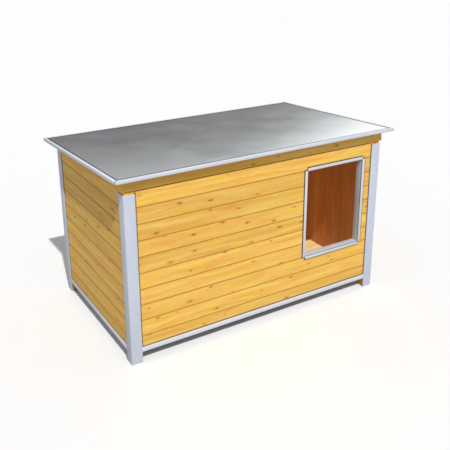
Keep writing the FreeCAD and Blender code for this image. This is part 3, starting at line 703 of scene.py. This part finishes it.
# The dark line under the front rail is painted shade in the parting gap; half_run_mm is past its
# ends.
FRONT_RAIL = Cladding(
    "planed_spruce_front_rail", roughness=0.6, gloss=0.15, half_run_mm=2000.0,
    trim_top_mm=699.4, face_y_mm=-366.4, painted_shade_mm=2.2, painted_shade="4A3016")
PINE_FLOOR = Softwood(
    "sanded_pine_staves", roughness=0.5, gloss=0.5, run=Run.FLAT, strip_mm=90.0,
    strip_start_mm=-327.0, pale="F2DAA4", mid="EDCF8E", deep="E1BC77", joint="B98C4C",
    joint_mm=0.7)
LINING_UP = Plywood("film_faced_plywood_upright")
LINING_SIDE = Plywood("film_faced_plywood_side", run=Run.UPRIGHT_SIDE)
LINING_FLAT = Plywood("film_faced_plywood_flat", run=Run.FLAT)
DECK_PLY = Plywood("birch_plywood_deck", roughness=0.6, run=Run.FLAT, pale="D8B27A",
                   deep="B98E58", band_mm=40.0)
CHANNEL_FACE_MM = -361.8
EAVE_EXTRA_MM = 242.5
TRIM_LONG = SatinAluminium("anodised_aluminium_long")
TRIM_DEEP = SatinAluminium("anodised_aluminium_deep", run=Run.DEEP)
ANGLE_UP = SatinAluminium("anodised_aluminium_angle", run=Run.UPRIGHT, tint="CDD3E2")
CHANNEL_LONG = SatinAluminium("anodised_channel_long", tint="D8DAE0",
                              crease_y_mm=CHANNEL_FACE_MM)
CHANNEL_UP = SatinAluminium("anodised_channel_upright", run=Run.UPRIGHT, tint="D8DAE0",
                            crease_y_mm=CHANNEL_FACE_MM)
EAVE_LONG = SatinAluminium("anodised_eave_trim_long", tint="D5D8E1", mitre_mm=EAVE_EXTRA_MM)
EAVE_DEEP = SatinAluminium("anodised_eave_trim_deep", run=Run.DEEP, tint="D5D8E1",
                           mitre_mm=EAVE_EXTRA_MM)
ROOF_METAL = RoofSheet("satin_roof_sheet")
PLATED_STEEL = ZincSteel("zinc_plated_steel")
RIGID_FOAM = Cellular("bead_foam", roughness=0.85)
SPONGE_SEAL = Cellular("sponge_rubber_seal", roughness=0.9, pale="2A2A2A", deep="141414",
                       cell_mm=0.9)
FIBREBOARD = Cellular("hard_fibreboard", roughness=0.75, pale="7A5E3E", deep="54402A",
                      cell_mm=1.6, stretch=3.0)


class Paintbox:
    """Makes each finish's material once and puts it on pieces."""

    def __init__(self) -> None:
        """Start with no material made."""
        self.made: dict[str, bpy.types.Material] = {}

    def dress(self, piece: bpy.types.Object, finish: Any) -> bpy.types.Object:
        """Give a piece one finish in every material slot.

        Args:
            piece: A mesh object.
            finish: One of the finishes above.

        Returns:
            The same piece.
        """
        if finish.name not in self.made:
            self.made[finish.name] = finish.material()
        if not piece.material_slots:
            piece.data.materials.append(None)
        for slot in piece.material_slots:
            slot.material = self.made[finish.name]
        return piece


# ---------------------------------------------------------------------------------------
# Meshes
# ---------------------------------------------------------------------------------------


# Vertices nearer than this are one, and faces that turn by less than this are one face.
WELD_MM = 0.01
FLAT_DEG = 0.5
# Only edges that turn by more than this are eased.
EASED_DEG = 30.0


def settle(
    bm: bmesh.types.BMesh, name: str, body: str, sharp_deg: float = 32.0
) -> bpy.types.Object:
    """Turn a finished bmesh to a piece that rides on a body.

    Args:
        bm: The mesh, in the row frame, in metres. It is freed.
        name: The piece's name.
        body: The body that the piece rides on.
        sharp_deg: Edges that turn by more than this stay sharp.

    Returns:
        The new object.
    """
    bm.normal_update()
    for face in bm.faces:
        face.smooth = True
    limit = math.radians(sharp_deg)
    for edge in bm.edges:
        edge.smooth = len(edge.link_faces) == 2 and edge.calc_face_angle(0.0) < limit
    mesh = bpy.data.meshes.new(name)
    bm.to_mesh(mesh)
    bm.free()
    piece = bpy.data.objects.new(name, mesh)
    bpy.context.scene.collection.objects.link(piece)
    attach(piece, body)
    return piece


def eased(
    frame: dict, node: str, radius_mm: float, segments: int = 2,
    sharp_deg: float = 32.0,
) -> bpy.types.Object:
    """A merged copy of a CAD node whose edges are eased by a small radius; it replaces the node.

    Args:
        node: The CAD node's name.
        radius_mm: The radius of the eased edges.
        segments: How many faces round each edge.
        sharp_deg: Passed to settle().

    Returns:
        The new piece.
    """
    source = frame["nodes"][node]
    bm = bmesh.new()
    bm.from_mesh(source.data)
    bmesh.ops.remove_doubles(bm, verts=bm.verts, dist=WELD_MM * MM)
    bmesh.ops.dissolve_limit(bm, angle_limit=math.radians(FLAT_DEG), verts=bm.verts,
                             edges=bm.edges, use_dissolve_boundaries=False)
    bm.normal_update()
    edges = [e for e in bm.edges
             if len(e.link_faces) == 2 and e.calc_face_angle(0.0) > math.radians(EASED_DEG)]
    bmesh.ops.bevel(bm, geom=edges, offset=radius_mm * MM, offset_type="OFFSET",
                    segments=segments, profile=0.5, affect="EDGES", material=-1,
                    clamp_overlap=True)
    bmesh.ops.remove_doubles(bm, verts=bm.verts, dist=WELD_MM / 2 * MM)
    body = source["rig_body"]
    piece = settle(bm, node + "_eased", body, sharp_deg)
    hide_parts(node)
    return piece


# ---------------------------------------------------------------------------------------
# Sub-assemblies
# ---------------------------------------------------------------------------------------


@dataclass
class Walls:
    """Boards, battens, foam and lining of the four walls."""

    frame: dict
    paint: Paintbox

    def build(self) -> list[bpy.types.Object]:
        """Dress the four panels.

        Returns:
            The pieces.
        """
        nodes = self.frame["nodes"]
        cladding = {"front": FRONT_CLADDING, "rear": REAR_CLADDING,
                    "left": SIDE_CLADDING, "right": SIDE_CLADDING}
        pieces = []
        for side in SIDES:
            sideways = side in ("left", "right")
            pieces.append(self.paint.dress(nodes[side + "_boards"], cladding[side]))
            pieces.append(self.paint.dress(
                nodes[side + "_lining"], LINING_SIDE if sideways else LINING_UP))
            pieces.append(self.paint.dress(
                nodes[side + "_wall_battens"], TIMBER_DEEP if sideways else TIMBER_LONG))
            pieces.append(self.paint.dress(nodes[side + "_wall_insulation"], RIGID_FOAM))
        return pieces


@dataclass
class Corners:
    """Corner posts and the aluminium angles round them.

    Attributes:
        post_edge_mm: Radius of the posts' planed edges.
        angle_edge_mm: Radius of the angles' edges.
    """

    frame: dict
    paint: Paintbox
    post_edge_mm: float = 1.2
    angle_edge_mm: float = 0.7

    def build(self) -> list[bpy.types.Object]:
        """Make the eight pieces.

        Returns:
            The pieces.
        """
        pieces = []
        for corner in CORNERS:
            post = eased(self.frame, "corner_post_" + corner, self.post_edge_mm)
            pieces.append(self.paint.dress(post, TIMBER_UP))
            angle = eased(self.frame, "corner_angle_" + corner,
                          self.angle_edge_mm, segments=3)
            pieces.append(self.paint.dress(angle, ANGLE_UP))
        return pieces


@dataclass
class MetalEdges:
    """Base trims and the doorway's four channels.

    Attributes:
        edge_mm: Radius of the sections' edges.
    """

    frame: dict
    paint: Paintbox
    edge_mm: float = 0.5

    def build(self) -> list[bpy.types.Object]:
        """Make the eight sections.

        Returns:
            The pieces.
        """
        pieces = []
        for side in SIDES:
            trim = eased(self.frame, "base_trim_" + side, self.edge_mm)
            sideways = side in ("left", "right")
            pieces.append(self.paint.dress(trim, TRIM_DEEP if sideways else TRIM_LONG))
        for name in ("head", "sill", "left", "right"):
            channel = eased(self.frame, f"door_{name}_channel", self.edge_mm)
            upright = name in ("left", "right")
            pieces.append(self.paint.dress(channel, CHANNEL_UP if upright else CHANNEL_LONG))
        return pieces


@dataclass
class CabinFloor:
    """Floor panel with what lies under it."""

    frame: dict
    paint: Paintbox

    def build(self) -> list[bpy.types.Object]:
        """Dress the floor's layers.

        Returns:
            The pieces.
        """
        nodes = self.frame["nodes"]
        return [
            self.paint.dress(nodes["floor_panel"], PINE_FLOOR),
            self.paint.dress(nodes["floor_frame"], TIMBER_LONG),
            self.paint.dress(nodes["floor_insulation"], RIGID_FOAM),
            self.paint.dress(nodes["floor_underlay"], FIBREBOARD),
        ]


@dataclass
class Lid:
    """Seal, lid frame, deck, roof sheet and edge trims.

    Attributes:
        rail_edge_mm: Radius of the rails' planed edges.
        trim_edge_mm: Radius of the edge trims' bends.
        seal_edge_mm: Radius of the seal's soft edges.
    """

    frame: dict
    paint: Paintbox
    rail_edge_mm: float = 1.5
    trim_edge_mm: float = 0.6
    seal_edge_mm: float = 1.0

    def build(self) -> list[bpy.types.Object]:
        """Make and dress the lid's pieces.

        Returns:
            The pieces.
        """
        nodes = self.frame["nodes"]
        pieces = []
        for side in SIDES:
            sideways = side in ("left", "right")
            rail = eased(self.frame, "lid_rail_" + side, self.rail_edge_mm)
            timber = TIMBER_DEEP if sideways else TIMBER_LONG
            pieces.append(self.paint.dress(rail, FRONT_RAIL if side == "front" else timber))
            trim = eased(self.frame, "roof_trim_" + side, self.trim_edge_mm)
            pieces.append(self.paint.dress(trim, EAVE_DEEP if sideways else EAVE_LONG))
        seal = eased(self.frame, "lid_seal", self.seal_edge_mm, segments=3)
        pieces.append(self.paint.dress(seal, SPONGE_SEAL))
        pieces.append(self.paint.dress(nodes["lid_lining"], LINING_FLAT))
        pieces.append(self.paint.dress(nodes["lid_cross_battens"], TIMBER_DEEP))
        pieces.append(self.paint.dress(nodes["lid_insulation"], RIGID_FOAM))
        pieces.append(self.paint.dress(nodes["roof_deck"], DECK_PLY))
        pieces.append(self.paint.dress(nodes["roof_sheet"], ROOF_METAL))
        return pieces


@dataclass
class Hinges:
    """Two butt hinges at the rear, with their pins and screws."""

    frame: dict
    paint: Paintbox
    leaf_edge_mm: float = 0.35

    def build(self) -> list[bpy.types.Object]:
        """Make and dress the hinges' pieces.

        Returns:
            The pieces.
        """
        nodes = self.frame["nodes"]
        pieces = []
        for side in ("left", "right"):
            for part in ("wall_leaf", "lid_leaf"):
                leaf = eased(self.frame, f"hinge_{side}_{part}",
                             self.leaf_edge_mm)
                pieces.append(self.paint.dress(leaf, PLATED_STEEL))
            pieces.append(self.paint.dress(nodes[f"hinge_{side}_pin"], PLATED_STEEL))
        pieces.append(self.paint.dress(nodes["hinge_wall_screws"], PLATED_STEEL))
        pieces.append(self.paint.dress(nodes["hinge_lid_screws"], PLATED_STEEL))
        return pieces


@dataclass
class Studio:
    """Camera, lamps, world and floor.

    Attributes:
        eye_mm: Where the camera stands.
        yaw, pitch: Its direction, in radians: yaw from +Y towards +X, pitch upwards.
        focal_px: Its focal length for an image 450 pixels wide.
        centre_px: Where the camera's axis meets the image.
        image_px: The image's width.
        sun_way, sun_strength, sun_spread_deg: The key lamp's direction, strength and softness.
        fill: How bright the room is for what isn't glossy.
        floor_bounce, floor_seen: The floor's grey for the object's light and for the camera.
        cabin_watts, cabin_size, cabin_at, cabin_way: The cabin lamp's power, and its sides,
            place and direction in metres.
        fold_deg: The azimuth about which the room mirrors, so that it has no seam.
        rise_share: How many degrees of azimuth one degree of height stands for.
        glossy_room: What glossy surfaces see: places as degrees over 100, and greys.
        lean_deg, lean_glow: Where the room brightens with height, and by how much.
    """

    eye_mm: tuple[float, float, float] = (-1436.224, -2422.952, 1538.965)
    yaw: float = 0.55745
    pitch: float = -0.32477
    focal_px: float = 679.613
    centre_px: tuple[float, float] = (233.0, 165.0)
    image_px: float = 450.0
    sun_way: tuple[float, float, float] = (0.24, 1.0, -1.35)
    sun_strength: float = 3.05
    sun_spread_deg: float = 1.2
    fill: float = 0.42
    floor_bounce: float = 0.45
    floor_seen: float = 0.835
    cabin_watts: float = 2.15
    cabin_size: tuple[float, float] = (0.5, 0.25)
    cabin_at: tuple[float, float, float] = (-0.15, 0.0, 0.42)
    cabin_way: tuple[float, float, float] = (1.0, 0.35, -0.15)
    fold_deg: float = 60.0
    rise_share: float = 2.2
    glossy_room: tuple[tuple[float, float], ...] = (
        (0.38, 0.22), (0.51, 0.30), (0.56, 0.34), (0.59, 0.44),
        (0.62, 0.85), (0.66, 1.6), (0.90, 1.2), (1.0, 0.9))
    lean_deg: tuple[float, float] = (8.6, 11.0)
    lean_glow: float = 0.30

    def build(self, frame: dict) -> None:
        """Make everything that isn't part of the object.
        """
        self.camera()
        self.sun()
        self.cabin_lamp(frame)
        self.world()
        self.floor()
        scene = bpy.context.scene
        scene.view_settings.view_transform = "Standard"

    def camera(self) -> None:
        """Set up the camera at the viewing angle of the photograph."""
        data = bpy.data.cameras.new("view")
        data.sensor_width = 36.0
        data.lens = self.focal_px * data.sensor_width / self.image_px
        data.shift_x = (self.image_px / 2 - self.centre_px[0]) / self.image_px
        data.shift_y = (self.centre_px[1] - self.image_px / 2) / self.image_px
        data.clip_start, data.clip_end = 0.05, 200.0
        camera = bpy.data.objects.new("view", data)
        camera.location = Vector(self.eye_mm) * MM
        camera.rotation_euler = Euler((math.pi / 2 + self.pitch, 0.0, -self.yaw))
        bpy.context.scene.collection.objects.link(camera)
        bpy.context.scene.camera = camera

    def sun(self) -> None:
        """One soft key lamp from the front and a little from the left."""
        data = bpy.data.lights.new("key", "SUN")
        data.energy = self.sun_strength
        data.angle = math.radians(self.sun_spread_deg)
        data.color = (1.0, 0.99, 0.97)
        key = bpy.data.objects.new("key", data)
        key.rotation_mode = "QUATERNION"
        key.rotation_quaternion = Vector(self.sun_way).to_track_quat("-Z", "Y")
        key.location = -Vector(self.sun_way) * 4
        bpy.context.scene.collection.objects.link(key)

    def cabin_lamp(self, frame: dict) -> None:
        """A small soft lamp for what the doorway shows of the dark cabin.

        It lights only the right lining and the floor.
        """
        data = bpy.data.lights.new("cabin", "AREA")
        data.shape = "RECTANGLE"
        data.size, data.size_y = self.cabin_size
        data.energy = self.cabin_watts
        data.color = (1.0, 0.97, 0.92)
        lamp = bpy.data.objects.new("cabin", data)
        lamp.rotation_mode = "QUATERNION"
        lamp.rotation_quaternion = Vector(self.cabin_way).to_track_quat("-Z", "Y")
        lamp.location = self.cabin_at
        lamp.visible_camera = False
        lamp.visible_glossy = False
        bpy.context.scene.collection.objects.link(lamp)
        lined = bpy.data.collections.new("lined_cabin")
        for node in ("right_lining", "floor_panel"):
            lined.objects.link(frame["nodes"][node])
        lamp.light_linking.receiver_collection = lined

    def world(self) -> None:
        """An even pale room; glossy surfaces see it dark behind and bright to the right."""
        world = bpy.data.worlds.new("room")
        bpy.context.scene.world = world
        world.use_nodes = True
        tree = world.node_tree
        tree.nodes.clear()

        way = add_node(tree, "SeparateXYZ", {0: add_node(tree, "TexCoord").outputs["Generated"]})
        azimuth = calc(tree, "DEGREES", calc(tree, "ARCTAN2", way.outputs["X"], way.outputs["Y"]))
        off = calc(tree, "WRAP", calc(tree, "SUBTRACT", azimuth, self.fold_deg), 180.0, -180.0)
        turn = calc(tree, "SUBTRACT", self.fold_deg, calc(tree, "ABSOLUTE", off))
        rise = calc(tree, "DEGREES", calc(tree, "ARCSINE", way.outputs["Z"]))
        slant = calc(tree, "MULTIPLY_ADD", rise, self.rise_share, turn)
        right = add_node(
            tree, "ValToRGB", {"Fac": calc(tree, "DIVIDE", slant, 100.0)},
            stops=tuple((place, grey(value)) for place, value in self.glossy_room))
        lean = calc(tree, "MULTIPLY_ADD", turn, -0.1, rise)
        left = remap(tree, lean, *self.lean_deg, 0.0, self.lean_glow, smooth=True)
        glossy = calc(tree, "ADD", right.outputs["Color"], left)
        path = add_node(tree, "LightPath")
        fill = (self.fill * 0.97, self.fill * 0.99, self.fill * 1.04, 1.0)
        lit = blend(tree, path.outputs["Is Glossy Ray"], fill, glossy)
        seen = blend(tree, path.outputs["Is Camera Ray"], lit, grey(1.0))
        background = add_node(tree, "Background", {"Color": seen})
        add_node(tree, "OutputWorld", {"Surface": background.outputs[0]})

    def floor(self) -> None:
        """A plain pale floor that keeps the object's shadow."""
        bm = bmesh.new()
        bmesh.ops.create_grid(bm, x_segments=1, y_segments=1, size=30.0)
        mesh = bpy.data.meshes.new("studio_floor")
        bm.to_mesh(mesh)
        bm.free()
        floor = bpy.data.objects.new("studio_floor", mesh)
        bpy.context.scene.collection.objects.link(floor)
        material = bpy.data.materials.new("studio_floor")
        material.use_nodes = True
        tree = material.node_tree
        shader = tree.nodes["Principled BSDF"]
        shader.inputs["Roughness"].default_value = 0.9
        shader.inputs["Specular IOR Level"].default_value = 0.1
        path = add_node(tree, "LightPath")
        pale = blend(tree, path.outputs["Is Camera Ray"], grey(self.floor_bounce),
                     grey(self.floor_seen))
        tree.links.new(pale, shader.inputs["Base Color"])
        mesh.materials.append(material)


def report(name: str, pieces: Iterable[bpy.types.Object]) -> None:
    """Log each piece of a sub-assembly with its triangle count."""
    for piece in pieces:
        triangles = sum(len(p.vertices) - 2 for p in piece.data.polygons)
        LOG.info("%s: %s, %d triangles", name, piece.name, triangles)


def main() -> None:
    """Load the frame, make and dress every sub-assembly, and set up the studio."""
    logging.basicConfig(level=logging.INFO, format="%(name)s %(message)s")
    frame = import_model()
    paint = Paintbox()
    for maker in (Walls, Corners, MetalEdges, CabinFloor, Lid, Hinges):
        report(maker.__name__, maker(frame, paint).build())
    Studio().build(frame)


if __name__ == "__main__":
    main()
